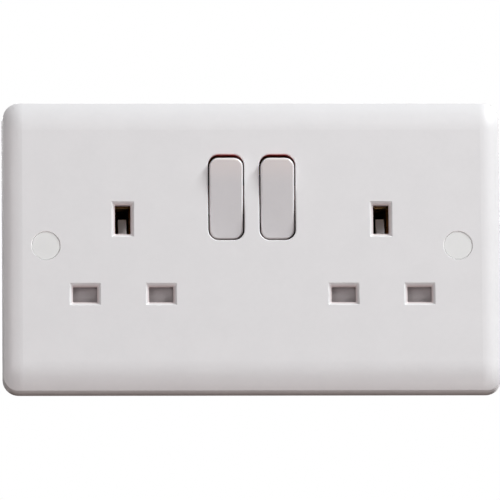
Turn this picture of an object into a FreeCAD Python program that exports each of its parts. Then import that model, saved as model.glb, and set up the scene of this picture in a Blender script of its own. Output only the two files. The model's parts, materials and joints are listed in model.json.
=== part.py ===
import FreeCAD, Part
import math
import os

# A two-gang switched 13 A wall socket, in millimetres. X runs to the right and Z up as
# the user sees the face, Y runs into the wall, and Y = 0 is the wall plane at the middle
# of the plate. A depth is measured from the front face towards the wall.

# Face plate
plate_width = 146.0
plate_height = 86.0
plate_depth = 9.2
plate_corner = 4.7
face_wall = 2.6
side_wall = 2.4
side_draft = 3.0
crown_drop = 2.34
crown_side = 5.9
crown_end = 8.6
crown_side_swell = 0.0
crown_end_swell = 0.5
rib_thick = 1.2
rib_height = 4.2
rib_spacing = 24.0

# Holes for the wall screws, and the caps over them
fixing_pitch = 120.6
fixing_hole = 4.2
head_well = 7.4
head_seat = 5.6
boss_wall = 1.05
cap_lip = 0.4
cap_thick = 1.35
cap_inset = 0.2
cap_skirt_wall = 0.8
cap_skirt_length = 1.8
cap_clearance = 0.05
cap_rim = 0.25
cap_edge = 0.12

# Plug pins and the slots that take them
socket_pitch = 75.6
pin_pitch = 22.23
pin_row = -14.4
line_pin_height = 4.0
line_pin_length = 17.7
earth_pin_width = 4.0
earth_pin_height = 8.0
earth_pin_length = 22.7
line_slot_width = 7.1
line_slot_height = 4.65
earth_slot_width = 4.6
earth_slot_height = 8.6
slot_bevel = 1.0
slot_bevel_depth = 1.0
slot_corner = 0.3
slot_mouth_corner = 0.25

# Rockers, their bearings and snap plungers
rocker_pitch = 15.0
rocker_row = 14.45
aperture_width = 10.6
aperture_length = 25.4
aperture_corner = 3.1
aperture_drop = 0.11
aperture_edge = 0.35
rocker_side_gap = 0.4
rocker_end_gap = 0.75
rocker_proud = 0.3
rocker_tilt = 7.5
rocker_skirt = 3.7
rocker_wall = 1.6
rocker_edge = 0.6
trunnion_radius = 1.3
trunnion_length = 2.1
cheek_width = 8.0
stem_wall = 0.95
stem_length = 4.5
plunger_radius = 1.65
plunger_length = 6.2
plunger_reach = 7.5
plunger_wire = 0.35
plunger_turns = 3.5

# Moving and fixed switch contacts
arm_width = 5.0
arm_thick = 1.2
arm_corner = 1.0
arm_end = 0.1
arm_lower = 6.0
arm_tilt = 5.5
pivot_ridge = 0.7
tip_radius = 1.5
tip_height = 0.9
tip_dome = 3.0
tip_place = 7.8
fixed_tip_radius = 1.7
fixed_tip_height = 0.8
fixed_tip_edge = 0.3
contact_gap = 0.06

# Shutters
shutter_thick = 2.2
flag_over = 0.55
flag_under = 0.9
flag_side = 0.9
flag_corner = 1.2
shutter_spare = 0.15
shutter_stem = 4.8
ramp_width = 2.4
ramp_foot = 0.9
ramp_back = 0.8
guide_thick = 1.2
shutter_wire = 0.4
shutter_turns = 4.5
spring_room = 7.8
spring_peg = 0.6
spring_peg_length = 1.0
spring_peg_clearance = 0.15

# Stamped brass bars, jaws and terminals
bar_thick = 1.0
bar_width = 4.0
bus_width = 2.4
bridge_drop = 1.0
pin_end_room = 1.3
jaw_width = 6.0
jaw_leaf = 0.8
jaw_grip = 0.15
jaw_flare = 1.05
jaw_flare_length = 2.2
jaw_mouth = 0.6
terminal_row = 22.0
terminal_side_room = 1.7
terminal_width = 8.4
terminal_height = 8.8
terminal_depth = 8.6
wire_tunnel = 5.0
tunnel_wall = 1.4
clamp_radius = 1.7
clamp_tip_room = 0.4
clamp_head_radius = 3.0
clamp_head_height = 1.7
clamp_head_edge = 0.35
clamp_cross_length = 3.9
clamp_cross_width = 0.8
clamp_backed_out = 0.2

# Back moulding and its screws
housing_wall = 1.8
housing_corner = 4.0
housing_edge = 1.2
floor_wall = 1.8
nest_wall = 1.2
collar_height = 0.8
barrier_height = 1.4
barrier_length = 12.0
panel_width = 44.0
panel_height = 20.0
panel_corner = 2.0
panel_depth = 0.4
screw_radius = 1.45
screw_head_radius = 2.6
screw_head_height = 1.8
screw_head_edge = 0.55
screw_cross_length = 3.1
screw_cross_width = 0.75
screw_boss_radius = 3.0
screw_boss_length = 5.6
screw_grip = 4.2
screw_ledge = 2.0
top_screw_room = 0.9
bottom_screw_x = 15.0

# Clearances
slide_clearance = 0.3
nest_clearance = 0.3
running_clearance = 0.05
bore_clearance = 0.1
spring_clearance = 0.05
nose_clearance = 0.1

# How far a cut runs past the wall it opens, and how closely an edge is matched
cut_past = 1.0
edge_match = 0.01

# Degree of the crown's curves
CUBIC = 3

# Places that follow from the sizes above
SIDES = (("left", -1), ("right", 1))
socket_x = socket_pitch / 2
rocker_x = rocker_pitch / 2
fixing_x = fixing_pitch / 2
cap_diameter = head_well + 2 * cap_lip
fixing_boss = cap_diameter + 2 * boss_wall
earth_row = pin_row + pin_pitch
slot_bottom = earth_row - earth_slot_height / 2

shutter_front = face_wall + slide_clearance
shutter_back = shutter_front + shutter_thick
nest_front = shutter_back + slide_clearance
shutter_travel = line_slot_height + flag_over + shutter_spare
flag_top = pin_row + line_slot_height / 2 + flag_over
flag_bottom = pin_row - line_slot_height / 2 - flag_under
ramp_top = earth_row - earth_pin_height / 2 + shutter_travel
ramp_depth = shutter_front + earth_pin_length - line_pin_length
shutter_coil_radius = spring_peg + spring_peg_clearance + shutter_wire / 2
shutter_middle = (shutter_front + shutter_back) / 2

bar_front = line_pin_length + pin_end_room
bar_back = bar_front + bar_thick
rear_depth = bar_back + floor_wall
jaw_front = nest_front + jaw_mouth
jaw_inner = line_pin_height / 2 - jaw_grip
jaw_half = jaw_inner + jaw_flare + jaw_leaf
earth_jaw_inner = earth_pin_width / 2 - jaw_grip
earth_jaw_half = earth_jaw_inner + jaw_flare + jaw_leaf
earth_jaw_bottom = slot_bottom
earth_jaw_top = earth_row + earth_slot_height / 2
earth_jaw_back = earth_pin_length - pin_end_room
earth_end = earth_pin_length + pin_end_room

rocker_width = aperture_width - 2 * rocker_side_gap
rocker_length = aperture_length - 2 * rocker_end_gap
rocker_corner = aperture_corner - rocker_side_gap
pivot_depth = face_wall + trunnion_radius + bore_clearance
rocker_face = -(pivot_depth + rocker_proud)
plunger_back = plunger_reach - plunger_length
plunger_bore = plunger_radius + bore_clearance
stem_radius = plunger_bore + stem_wall
spring_seat = rocker_face + rocker_wall + 0.5 * rocker_wall
arm_depth = pivot_depth + plunger_reach + nose_clearance + arm_thick
arm_upper = tip_place + tip_radius + arm_end
aperture_row = rocker_row - aperture_drop
bearing_outer = rocker_x + rocker_width / 2 + trunnion_length + bore_clearance
switch_wall = (rocker_x + rocker_width / 2 + bore_clearance, bearing_outer + bore_clearance)
post_front = pivot_depth + trunnion_radius + bore_clearance
closed_tilt = math.radians(arm_tilt)
fixed_tip_front = (
    arm_depth + tip_height * math.cos(closed_tilt) + tip_place * math.sin(closed_tilt) + contact_gap
)
shelf_front = fixed_tip_front + fixed_tip_height
shelf_row = rocker_row + tip_place * math.cos(closed_tilt) - tip_height * math.sin(closed_tilt)

terminal_half = terminal_width / 2 + nest_clearance + nest_wall
terminal_x = switch_wall[1] + terminal_half + terminal_side_room
terminal_front = bar_front - terminal_depth
tunnel_front = terminal_front + tunnel_wall
tunnel_back = tunnel_front + wire_tunnel
clamp_head_front = bar_back + clamp_backed_out
jaw_nest = (jaw_width / 2 + nest_clearance, jaw_half + nest_clearance)
earth_bus_row = terminal_row + terminal_height / 2 + nest_clearance + bus_width
neutral_bus_row = pin_row - jaw_nest[1] - nest_wall - bus_width / 2
bridge_row = (slot_bottom + pin_row + jaw_nest[1]) / 2 - bridge_drop
well_radius = screw_head_radius + slide_clearance
well_tube = well_radius + nest_wall
boss_back = face_wall + screw_boss_length
ledge_back = boss_back + screw_ledge
top_screw_x = socket_x + terminal_half + well_tube + top_screw_room
housing_half = socket_x + pin_pitch / 2 + jaw_nest[0] + housing_wall
housing_top = earth_bus_row + bus_width / 2 + nest_clearance + housing_wall
bottom_screw_row = neutral_bus_row - bus_width / 2 - nest_clearance - well_tube
top_screw_row = housing_top - well_tube
housing_bottom = bottom_screw_row - well_tube
SCREW_PLACES = (
    (-top_screw_x, top_screw_row),
    (top_screw_x, top_screw_row),
    (-bottom_screw_x, bottom_screw_row),
    (bottom_screw_x, bottom_screw_row),
)
TERMINALS = (
    ("left_earth", -socket_x),
    ("neutral", -terminal_x),
    ("line", terminal_x),
    ("right_earth", socket_x),
)


def place(x, depth, z):
    """A point at a depth behind the front face."""
    return FreeCAD.Vector(x, depth - plate_depth, z)


def block(x, depth, z):
    """A box between two limits in each direction."""
    size = (x[1] - x[0], depth[1] - depth[0], z[1] - z[0])
    return Part.makeBox(*size, place(x[0], depth[0], z[0]))


def about(middle, half):
    """The two limits that lie evenly about a middle."""
    return (middle - half, middle + half)


def rod_across(radius, x, depth, z):
    """A round rod along X."""
    return Part.makeCylinder(radius, x[1] - x[0], place(x[0], depth, z), FreeCAD.Vector(1, 0, 0))


def rod_inward(radius, x, depth, z):
    """A round rod square to the face."""
    return Part.makeCylinder(radius, depth[1] - depth[0], place(x, depth[0], z), FreeCAD.Vector(0, 1, 0))


def rod_upright(radius, x, depth, z):
    """A round rod along Z."""
    return Part.makeCylinder(radius, z[1] - z[0], place(x, depth, z[0]), FreeCAD.Vector(0, 0, 1))


def section_across(points, x):
    """A closed outline of (depth, z) points carried along X."""
    corners = [place(x[0], depth, z) for depth, z in points]
    face = Part.Face(Part.makePolygon(corners + corners[:1]))
    return face.extrude(FreeCAD.Vector(x[1] - x[0], 0, 0))


def section_upright(points, z):
    """A closed outline of (x, depth) points carried along Z."""
    corners = [place(x, depth, z[0]) for x, depth in points]
    face = Part.Face(Part.makePolygon(corners + corners[:1]))
    return face.extrude(FreeCAD.Vector(0, 0, z[1] - z[0]))


def rounded_outline(centre, size, corner, depth):
    """A rectangle with rounded corners, parallel to the face."""
    arcs = []
    for sx, sz, start in ((1, 1, 0), (-1, 1, 90), (-1, -1, 180), (1, -1, 270)):
        x = centre[0] + sx * (size[0] / 2 - corner)
        z = centre[1] + sz * (size[1] / 2 - corner)
        middle = place(x, depth, z)
        points = []
        for turn in (0, 45, 90):
            angle = math.radians(start + turn)
            points.append(middle + FreeCAD.Vector(math.cos(angle), 0, math.sin(angle)) * corner)
        arcs.append(points)
    edges = []
    for points, following in zip(arcs, arcs[1:] + arcs[:1]):
        edges.append(Part.Arc(*points).toShape())
        edges.append(Part.LineSegment(points[2], following[0]).toShape())
    return Part.Wire(edges)


def rounded_block(centre, size, corner, depth):
    """A block with rounded corners between two depths."""
    face = Part.Face(rounded_outline(centre, size, corner, depth[0]))
    return face.extrude(FreeCAD.Vector(0, depth[1] - depth[0], 0))


def edges_at(shape, depth):
    """The edges that lie wholly at one depth."""
    y = place(0, depth, 0).y
    found = []
    for edge in shape.Edges:
        box = edge.BoundBox
        if abs(box.YMin - y) < edge_match and abs(box.YMax - y) < edge_match:
            found.append(edge)
    return found


def edges_within(edges, x, z):
    """The edges that lie inside limits of X and Z."""
    found = []
    for edge in edges:
        box = edge.BoundBox
        inside_x = x[0] - edge_match < box.XMin and box.XMax < x[1] + edge_match
        inside_z = z[0] - edge_match < box.ZMin and box.ZMax < z[1] + edge_match
        if inside_x and inside_z:
            found.append(edge)
    return found


def joined(shapes):
    """One solid from pieces that meet."""
    return shapes[0].multiFuse(list(shapes[1:])).removeSplitter()


def coil(mean_radius, wire, length, turns):
    """A square-section spring that stands along Z from the origin."""
    rise = length - wire
    path = Part.makeHelix(rise / turns, rise, mean_radius)
    inner, outer = about(mean_radius, wire / 2)
    corners = [
        FreeCAD.Vector(inner, 0, -wire / 2),
        FreeCAD.Vector(outer, 0, -wire / 2),
        FreeCAD.Vector(outer, 0, wire / 2),
        FreeCAD.Vector(inner, 0, wire / 2),
    ]
    section = Part.makePolygon(corners + corners[:1])
    spring = Part.Wire(path).makePipeShell([section], True, True)
    spring.translate(FreeCAD.Vector(0, 0, wire / 2))
    return spring


def save(name, shapes):
    """Write the solids of one piece to its own file."""
    solids = [solid for shape in shapes for solid in shape.Solids]
    kept = solids[0] if len(solids) == 1 else Part.makeCompound(solids)
    kept.exportStep("parts/" + name + ".step")


def pin_rows():
    """The middle of each neutral and line slot, with its side and its pole."""
    rows = []
    for side, sign in SIDES:
        rows.append((side, "neutral", sign * socket_x - pin_pitch / 2))
        rows.append((side, "line", sign * socket_x + pin_pitch / 2))
    return rows


def pin_slot(x, z, width, height):
    """The space of one bevelled slot through the face."""
    size = (width, height)
    mouth_size = (width + 2 * slot_bevel, height + 2 * slot_bevel)
    inner = rounded_outline((x, z), size, slot_corner, slot_bevel_depth)
    outer = rounded_outline((x, z), mouth_size, slot_mouth_corner, 0)
    bevel = Part.makeLoft([outer, inner], True, True)
    through = rounded_block((x, z), size, slot_corner, (slot_bevel_depth, face_wall + cut_past))
    return [bevel, through]


def crown_bands(half, reach, swell):
    """Poles, as (place, depth), for the near edge, the flat and the far edge of the crown."""
    start = half - reach
    falls = (0, 0, crown_drop * (1 - swell) / CUBIC, crown_drop)
    far = [(start + reach * share / CUBIC, fall) for share, fall in enumerate(falls)]
    near = [(-x, fall) for x, fall in reversed(far)]
    flat = [(start * (2 * share / CUBIC - 1), 0) for share in range(CUBIC + 1)]
    return (near, flat, far)


def crown_patch(columns, rows):
    """The prism under one patch of the crown, where the falls across and upward add up."""
    surface = Part.BezierSurface()
    surface.increase(CUBIC, CUBIC)
    for i, (x, side_fall) in enumerate(columns):
        for j, (z, end_fall) in enumerate(rows):
            surface.setPole(i + 1, j + 1, place(x, side_fall + end_fall, z))
    return surface.toShape().extrude(FreeCAD.Vector(0, 2 * plate_depth, 0))


def plate_crown():
    """A block with a flat face that falls away in gentle curves along its edges."""
    flat_x = about(0, plate_width / 2 - crown_side)
    flat_z = about(0, plate_height / 2 - crown_end)
    pieces = [block(flat_x, (0, 2 * plate_depth), flat_z)]
    for i, columns in enumerate(crown_bands(plate_width / 2, crown_side, crown_side_swell)):
        for j, rows in enumerate(crown_bands(plate_height / 2, crown_end, crown_end_swell)):
            if (i, j) != (1, 1):
                pieces.append(crown_patch(columns, rows))
    return joined(pieces)


def plate_skin():
    """The outside of the face plate: a crowned face with drafted sides."""
    draw_in = plate_depth * math.tan(math.radians(side_draft))
    front_size = (plate_width - 2 * draw_in, plate_height - 2 * draw_in)
    front = rounded_outline((0, 0), front_size, plate_corner - draw_in, 0)
    back = rounded_outline((0, 0), (plate_width, plate_height), plate_corner, plate_depth)
    return plate_crown().common(Part.makeLoft([front, back], True, True))


def plate_ribs():
    """Stiffening ribs on the back of the face, between its rim and the back moulding."""
    ribs = []
    count = int(housing_half // rib_spacing)
    depth = (face_wall, face_wall + rib_height)
    rim = plate_height / 2 - 0.5 * side_wall
    for number in range(-count, count + 1):
        x = about(number * rib_spacing, rib_thick / 2)
        ribs.append(block(x, depth, (housing_top + slide_clearance, rim)))
        ribs.append(block(x, depth, (-rim, housing_bottom - slide_clearance)))
    return ribs


def shutter_runners(x):
    """The rails beside a shutter's stem and the ledge under its spring."""
    depth = (face_wall, shutter_back)
    inner = shutter_stem / 2 + 0.5 * slide_clearance
    z = (flag_top + slide_clearance, slot_bottom - ramp_foot - slide_clearance)
    rails = [
        block((x - inner - guide_thick, x - inner), depth, z),
        block((x + inner, x + inner + guide_thick), depth, z),
    ]
    ledge_top = flag_bottom - spring_room
    ledge = block(about(x, inner), depth, (ledge_top - guide_thick, ledge_top))
    peg = rod_upright(spring_peg, x, shutter_middle, (ledge_top, ledge_top + spring_peg_length))
    return rails + [ledge, peg]


def rocker_cheeks():
    """The bearing cheeks behind the rockers' apertures, and the hood over their upper ends."""
    depth = (face_wall, pivot_depth + trunnion_radius)
    z = about(rocker_row, cheek_width / 2)
    middle = rocker_x - rocker_width / 2 - bore_clearance
    cheeks = [block(about(0, middle), depth, z)]
    for _, sign in SIDES:
        cheeks.append(block(sorted((sign * switch_wall[0], sign * switch_wall[1])), depth, z))
    hood_foot = aperture_row + aperture_length / 2
    hood_depth = (face_wall, post_front - slide_clearance)
    cheeks.append(block(about(0, switch_wall[1]), hood_depth, (hood_foot, hood_foot + rib_thick)))
    return cheeks


def front_plate():
    """The moulded face plate with its slots, apertures, bosses, bearings and ribs."""
    room_size = (plate_width - 2 * side_wall, plate_height - 2 * side_wall)
    room_corner = plate_corner - side_wall / 2
    room = rounded_block((0, 0), room_size, room_corner, (face_wall, plate_depth + cut_past))
    shell = plate_skin().cut(room)
    added = plate_ribs() + rocker_cheeks()
    removed = []
    for _, sign in SIDES:
        x = sign * fixing_x
        added.append(rod_inward(fixing_boss / 2, x, (face_wall / 2, plate_depth), 0))
        cap_floor = cap_inset + cap_thick
        removed.append(rod_inward(cap_diameter / 2 + cap_clearance, x, (-cut_past, cap_floor), 0))
        removed.append(rod_inward(head_well / 2, x, (-cut_past, head_seat), 0))
        removed.append(rod_inward(fixing_hole / 2, x, (-cut_past, plate_depth + cut_past), 0))
        added += shutter_runners(sign * socket_x)
        removed += pin_slot(sign * socket_x, earth_row, earth_slot_width, earth_slot_height)
    for _, _, x in pin_rows():
        removed += pin_slot(x, pin_row, line_slot_width, line_slot_height)
    for x, z in SCREW_PLACES:
        added.append(rod_inward(screw_boss_radius, x, (face_wall / 2, boss_back), z))
        pilot = (boss_back - screw_grip - slide_clearance, boss_back + cut_past)
        removed.append(rod_inward(screw_radius + running_clearance, x, pilot, z))
    saddle = about(0, switch_wall[1] + cut_past)
    removed.append(rod_across(trunnion_radius + running_clearance, saddle, pivot_depth, rocker_row))
    open_saddle = about(rocker_row, trunnion_radius + running_clearance)
    removed.append(block(saddle, (pivot_depth, post_front), open_saddle))
    plate = joined([shell] + added).cut(removed)
    aperture_size = (aperture_width, aperture_length)
    through = (-cut_past, face_wall + cut_past)
    for _, sign in SIDES:
        x = sign * rocker_x
        plate = plate.cut(rounded_block((x, aperture_row), aperture_size, aperture_corner, through))
        limits = (about(x, aperture_width / 2), about(aperture_row, aperture_length / 2))
        plate = plate.makeFillet(aperture_edge, edges_within(edges_at(plate, 0), *limits))
        rim = fixing_boss / 2
        limits = (about(sign * fixing_x, rim), about(0, rim))
        plate = plate.makeFillet(cap_rim, edges_within(edges_at(plate, 0), *limits))
    return plate


def screw_cap(x):
    """A round cover that sits in the recess over one wall screw."""
    skirt = (cap_inset + cap_thick, cap_inset + cap_thick + cap_skirt_length)
    outer = head_well / 2 - cap_clearance
    disc = rod_inward(cap_diameter / 2, x, (cap_inset, skirt[0]), 0)
    disc = disc.makeFillet(cap_edge, edges_at(disc, cap_inset))
    ring = rod_inward(outer, x, skirt, 0).cut(rod_inward(outer - cap_skirt_wall, x, skirt, 0))
    return joined([disc, ring])


def turned(shape, x, angle):
    """A switch piece, made about the origin, turned about X and set on its pivot."""
    posed = shape.rotated(FreeCAD.Vector(0, 0, 0), FreeCAD.Vector(1, 0, 0), angle)
    posed.translate(place(x, pivot_depth, rocker_row))
    return posed


def at_pivot(shape):
    """A piece made at a depth, moved so that depth 0 and height 0 lie at the origin."""
    shape.translate(FreeCAD.Vector(0, plate_depth, 0))
    return shape


def rocker(x):
    """A rocker in its ON position, hollow behind, with trunnions and a plunger tube."""
    back = rocker_face + rocker_skirt
    size = (rocker_width, rocker_length)
    paddle = rounded_block((0, 0), size, rocker_corner, (rocker_face, back))
    paddle = paddle.makeFillet(rocker_edge, edges_at(paddle, rocker_face))
    room_size = (rocker_width - 2 * rocker_wall, rocker_length - 2 * rocker_wall)
    room = rounded_block((0, 0), room_size, rocker_corner / 2, (rocker_face + rocker_wall, back + cut_past))
    ear_radius = trunnion_radius + 0.5 * rocker_wall
    half = rocker_width / 2
    ears = []
    for sign in (-1, 1):
        inner, outer = sorted((sign * (half - rocker_wall), sign * half))
        ears.append(rod_across(ear_radius, (inner, outer), 0, 0))
        ears.append(block((inner, outer), (back - 0.5 * rocker_wall, 0), about(0, ear_radius)))
    axle = rod_across(trunnion_radius, about(0, half + trunnion_length), 0, 0)
    tube = rod_inward(stem_radius, 0, (rocker_face + 0.5 * rocker_wall, stem_length), 0)
    bore = rod_inward(plunger_bore, 0, (spring_seat, stem_length + cut_past), 0)
    solid = joined([paddle.cut(room), tube, axle] + ears).cut(bore)
    return turned(at_pivot(solid), x, rocker_tilt)


def plunger(x):
    """The round-nosed plunger that rides in a rocker's tube."""
    nose = plunger_reach - plunger_radius
    stem = rod_inward(plunger_radius, 0, (plunger_back, nose), 0)
    ball = Part.makeSphere(plunger_radius, place(0, nose, 0))
    return turned(at_pivot(joined([stem, ball])), x, rocker_tilt)


def plunger_spring(x):
    """The coil that pushes a plunger out of its tube."""
    length = plunger_back - spring_seat - 2 * spring_clearance
    radius = plunger_bore - plunger_wire - spring_clearance
    spring = coil(radius, plunger_wire, length, plunger_turns)
    spring.rotate(FreeCAD.Vector(0, 0, 0), FreeCAD.Vector(1, 0, 0), -90)
    spring.translate(FreeCAD.Vector(0, spring_seat + spring_clearance, 0))
    return turned(spring, x, rocker_tilt)


def on_arm(shape, x):
    """A piece of the contact arm, made about its ridge, tilted to the closed position."""
    posed = shape.rotated(FreeCAD.Vector(0, 0, 0), FreeCAD.Vector(1, 0, 0), -arm_tilt)
    posed.translate(place(x, arm_depth, rocker_row))
    return posed


def contact_arm(x):
    """The see-saw arm that the plunger tips from one side to the other."""
    outline_z = (arm_upper - arm_lower) / 2
    size = (arm_width, arm_upper + arm_lower)
    strip = rounded_block((0, outline_z), size, arm_corner, (-arm_thick, 0))
    groove = rod_across(pivot_ridge + running_clearance, about(0, arm_width), 0, 0)
    return on_arm(at_pivot(strip.cut(groove)), x)


def moving_tip(x):
    """The domed silver contact on the back of an arm."""
    stud = rod_inward(tip_radius, 0, (0, tip_height), tip_place)
    dome = Part.makeSphere(tip_dome, place(0, tip_height - tip_dome, tip_place))
    return on_arm(at_pivot(stud.common(dome)), x)


def fixed_tip(x):
    """The silver contact that stands on the feed bar's shelf."""
    stud = rod_inward(fixed_tip_radius, x, (fixed_tip_front, shelf_front), shelf_row)
    return stud.makeFillet(fixed_tip_edge, edges_at(stud, fixed_tip_front))


def shutter(x):
    """A sliding shutter: two flags behind the pin slots and a ramp behind the earth slot."""
    depth = (shutter_front, shutter_back)
    half = pin_pitch / 2 + line_slot_width / 2 + flag_side
    height = flag_top - flag_bottom
    middle = (x, (flag_top + flag_bottom) / 2)
    flags = rounded_block(middle, (2 * half, height), flag_corner, depth)
    foot = slot_bottom - ramp_foot
    stem = block(about(x, shutter_stem / 2), depth, (flag_bottom + 0.5 * height, foot))
    back = ramp_depth + ramp_back
    outline = [
        (shutter_front, foot - shutter_thick),
        (shutter_front, foot),
        (ramp_depth, ramp_top),
        (back, ramp_top),
        (back, foot),
        (shutter_back, foot - shutter_thick),
    ]
    ramp = section_across(outline, about(x, ramp_width / 2))
    peg = rod_upright(spring_peg, x, shutter_middle, (flag_bottom - spring_peg_length, flag_bottom))
    return joined([flags, stem, ramp, peg])


def shutter_spring(x):
    """The coil under a shutter that closes it again."""
    length = spring_room - 2 * spring_clearance
    spring = coil(shutter_coil_radius, shutter_wire, length, shutter_turns)
    spring.translate(place(x, shutter_middle, flag_bottom - spring_room + spring_clearance))
    return spring


def bar(runs):
    """Flat strips on the floor of the back moulding, from (x, z) limits."""
    return [block(x, (bar_front, bar_back), z) for x, z in runs]


def pin_jaw(x):
    """A pair of sprung leaves that grips a neutral or line pin."""
    leaves = []
    knee = jaw_front + jaw_flare_length
    for sign in (-1, 1):
        near = pin_row + sign * jaw_inner
        mouth = near + sign * jaw_flare
        outline = [
            (bar_back, near),
            (knee, near),
            (jaw_front, mouth),
            (jaw_front, mouth + sign * jaw_leaf),
            (knee, near + sign * jaw_leaf),
            (bar_back, near + sign * jaw_leaf),
        ]
        leaves.append(section_across(outline, about(x, jaw_width / 2)))
    foot = about(pin_row, jaw_inner + jaw_leaf)
    base = block(about(x, jaw_width / 2), (bar_front, bar_back), foot)
    return leaves + [base]


def earth_jaw(x):
    """Two upright leaves under a bridge that grip an earth pin."""
    leaves = []
    knee = jaw_front + jaw_flare_length
    z = (earth_jaw_bottom, earth_jaw_top + jaw_leaf)
    for sign in (-1, 1):
        near = x + sign * earth_jaw_inner
        mouth = near + sign * jaw_flare
        outline = [
            (near, earth_jaw_back),
            (near, knee),
            (mouth, jaw_front),
            (mouth + sign * jaw_leaf, jaw_front),
            (near + sign * jaw_leaf, knee),
            (near + sign * jaw_leaf, earth_jaw_back),
        ]
        leaves.append(section_upright(outline, z))
    roof = (earth_jaw_top, earth_jaw_top + jaw_leaf)
    hood = block(about(x, earth_jaw_half), (jaw_front, jaw_front + jaw_leaf), roof)
    bridge = block(about(x, earth_jaw_inner + jaw_leaf), (jaw_front, bar_back), roof)
    return leaves + [hood, bridge]


def bored(shapes, places):
    """A stamped bar with a clearance hole for each terminal's clamp screw."""
    holes = []
    for x in places:
        radius = clamp_radius + bore_clearance
        through = (bar_front - cut_past, bar_back + cut_past)
        holes.append(rod_inward(radius, x, through, terminal_row))
    return joined(shapes).cut(holes).removeSplitter()


def terminal_tab(x):
    """The end of a bar that lies under a terminal."""
    return (about(x, terminal_width / 2), about(terminal_row, terminal_height / 2))


def neutral_runs():
    """The neutral bar's path from its terminal to both neutral jaws."""
    half = bar_width / 2
    first = -socket_x - pin_pitch / 2
    second = socket_x - pin_pitch / 2
    bus = about(neutral_bus_row, bus_width / 2)
    return [
        terminal_tab(-terminal_x),
        (about(-terminal_x, half), (bridge_row - half, terminal_row)),
        ((first - half, -terminal_x + half), about(bridge_row, half)),
        (about(first, half), (bus[0], bridge_row + half)),
        ((first - half, second + half), bus),
        (about(second, half), (bus[0], pin_row)),
    ]


def line_runs(sign):
    """The path of a switched line bar from its ridge to its jaw."""
    half = bar_width / 2
    start = sign * rocker_x
    end = sign * socket_x + pin_pitch / 2
    row = bridge_row if sign > 0 else pin_row
    return [
        (about(start, half), (row - half, rocker_row + half)),
        ((min(start, end) - half, max(start, end) + half), about(row, half)),
        (about(end, half), (pin_row - half, row + half)),
    ]


def feed_runs():
    """The feed bar's path from the line terminal past both switches."""
    row = shelf_row + fixed_tip_radius + bar_thick
    return [
        terminal_tab(terminal_x),
        ((-rocker_x - arm_width / 2, terminal_x), (row, row + bus_width)),
    ]


def earth_runs():
    """The earth bar's path between both earth terminals and jaws."""
    reach = socket_x + terminal_width / 2
    runs = [(about(0, reach), about(earth_bus_row, bus_width / 2))]
    for _, sign in SIDES:
        x = sign * socket_x
        runs.append(terminal_tab(x))
        runs.append((about(x, bar_width / 2), (earth_jaw_top, earth_bus_row)))
    return runs


def neutral_bar():
    """The neutral bar with its two jaws."""
    jaws = pin_jaw(-socket_x - pin_pitch / 2) + pin_jaw(socket_x - pin_pitch / 2)
    return bored(bar(neutral_runs()) + jaws, [-terminal_x])


def line_contact(sign):
    """A switched line bar: the ridge under the arm, the strip and the jaw."""
    x = sign * rocker_x
    width = about(x, arm_width / 2 - slide_clearance)
    post = block(width, (arm_depth, bar_back), about(rocker_row, pivot_ridge))
    ridge = rod_across(pivot_ridge, width, arm_depth, rocker_row)
    jaw = pin_jaw(sign * socket_x + pin_pitch / 2)
    return joined(bar(line_runs(sign)) + [post, ridge] + jaw)


def feed_bar():
    """The unswitched line bar with a raised shelf for each fixed contact."""
    pieces = bar(feed_runs())
    row = shelf_row + fixed_tip_radius
    for _, sign in SIDES:
        width = about(sign * rocker_x, arm_width / 2)
        shelf = (shelf_row - fixed_tip_radius, row + bar_thick)
        pieces.append(block(width, (shelf_front, shelf_front + bar_thick), shelf))
        pieces.append(block(width, (shelf_front, bar_back), (row, row + bar_thick)))
    return bored(pieces, [terminal_x])


def earth_bar():
    """The earth bar with both jaws."""
    pieces = bar(earth_runs())
    for _, sign in SIDES:
        pieces += earth_jaw(sign * socket_x)
    return bored(pieces, [-socket_x, socket_x])


def terminal_block(x):
    """A brass terminal with a wire tunnel and a tapped hole for its clamp screw."""
    depth = (terminal_front, bar_front)
    z = about(terminal_row, terminal_height / 2)
    body = block(about(x, terminal_width / 2), depth, z)
    through = (z[0] - cut_past, z[1] + cut_past)
    tunnel = block(about(x, wire_tunnel / 2), (tunnel_front, tunnel_back), through)
    tapped = (tunnel_back, bar_front + cut_past)
    hole = rod_inward(clamp_radius + running_clearance, x, tapped, terminal_row)
    return body.cut([tunnel, hole])


def cross_slots(x, z, depth, length, width):
    """The two cuts of a cross recess in a screw's head."""
    return [
        block(about(x, length / 2), depth, about(z, width / 2)),
        block(about(x, width / 2), depth, about(z, length / 2)),
    ]


def clamp_screw(x):
    """A terminal's clamp screw, backed out as delivered, with a cross slot."""
    head = (clamp_head_front, clamp_head_front + clamp_head_height)
    shank = rod_inward(clamp_radius, x, (tunnel_back + clamp_tip_room, head[0]), terminal_row)
    cap = rod_inward(clamp_head_radius, x, head, terminal_row)
    cap = cap.makeFillet(clamp_head_edge, edges_at(cap, head[1]))
    slot = (head[1] - clamp_head_height / 2, head[1] + cut_past)
    cross = cross_slots(x, terminal_row, slot, clamp_cross_length, clamp_cross_width)
    return joined([shank, cap]).cut(cross)


def housing_screw(x, z):
    """A self-tapping screw through the back moulding into a boss of the plate."""
    head = (ledge_back, ledge_back + screw_head_height)
    shank = rod_inward(screw_radius, x, (boss_back - screw_grip, head[0]), z)
    cap = rod_inward(screw_head_radius, x, head, z)
    cap = cap.makeFillet(screw_head_edge, edges_at(cap, head[1]))
    slot = (head[1] - screw_head_height / 2, head[1] + cut_past)
    cross = cross_slots(x, z, slot, screw_cross_length, screw_cross_width)
    return joined([shank, cap]).cut(cross)


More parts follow.
